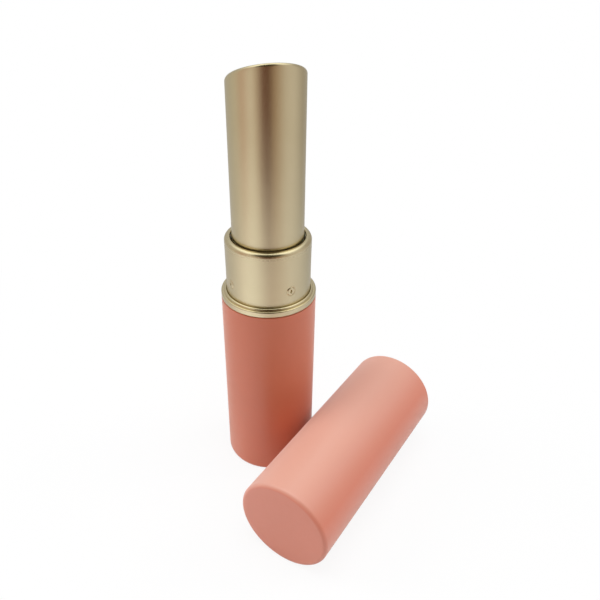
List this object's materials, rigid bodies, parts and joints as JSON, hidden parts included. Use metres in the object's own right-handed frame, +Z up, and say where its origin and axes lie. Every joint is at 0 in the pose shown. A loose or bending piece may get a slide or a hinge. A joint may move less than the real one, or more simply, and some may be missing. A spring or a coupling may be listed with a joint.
{
  "type": "lipstick",
  "caption": "Twist-up lipstick standing open on its base, with a tall slant-mouthed tube, and its round cap lying beside it.",
  "frame": {"origin": "centre of the base's flat foot, on the surface the lipstick stands on", "axes": "+Z up the base and tube; the cap lies along Y on the +X side, its closed end towards -Y"},
  "size_m": [0.0393, 0.0464, 0.0866],
  "materials": {
    "pink_paint": "soft matte pink paint",
    "weight_steel": "plain turned steel",
    "liner_plastic": "plain moulded plastic",
    "ring_gold": "satin pale gold",
    "collar_gold": "satin pale gold",
    "cam_plastic": "plain moulded plastic",
    "tube_gold": "satin pale gold",
    "guide_plastic": "plain moulded plastic",
    "drag_silicone": "soft silicone",
    "carrier_plastic": "plain moulded plastic",
    "bullet_wax": "smooth rose-red wax",
    "cap_pink_paint": "soft matte pink paint",
    "cap_liner_plastic": "plain moulded plastic"
  },
  "bodies": {
    "base": {"base_shell": "pink_paint", "base_weight": "weight_steel", "base_liner": "liner_plastic", "trim_ring": "ring_gold", "collar": "collar_gold", "cam_sleeve": "cam_plastic"},
    "upper": {"slant_tube": "tube_gold", "guide_tube": "guide_plastic", "drag_ring": "drag_silicone"},
    "bullet_carrier": {"carrier": "carrier_plastic", "bullet": "bullet_wax"},
    "cap": {"cap_shell": "cap_pink_paint", "cap_liner": "cap_liner_plastic"}
  },
  "joints": [
    {"name": "twist", "type": "hinge", "parent": "base", "child": "upper", "pos_m": [0, 0, 0.053], "axis": [0, 0, 1], "range_deg": [0, 360]},
    {"name": "bullet_rise", "type": "slide", "parent": "upper", "child": "bullet_carrier", "axis": [0, 0, 1], "range_m": [0, 0.022]},
    {"name": "cap_slide", "type": "slide", "parent": "base", "child": "cap", "axis": [0, -1, 0], "range_m": [0, 0.05]}
  ],
  "couplings": [
    {"joint": "bullet_rise", "follows": "twist", "m_per_rad": 0.0035014}
  ]
}
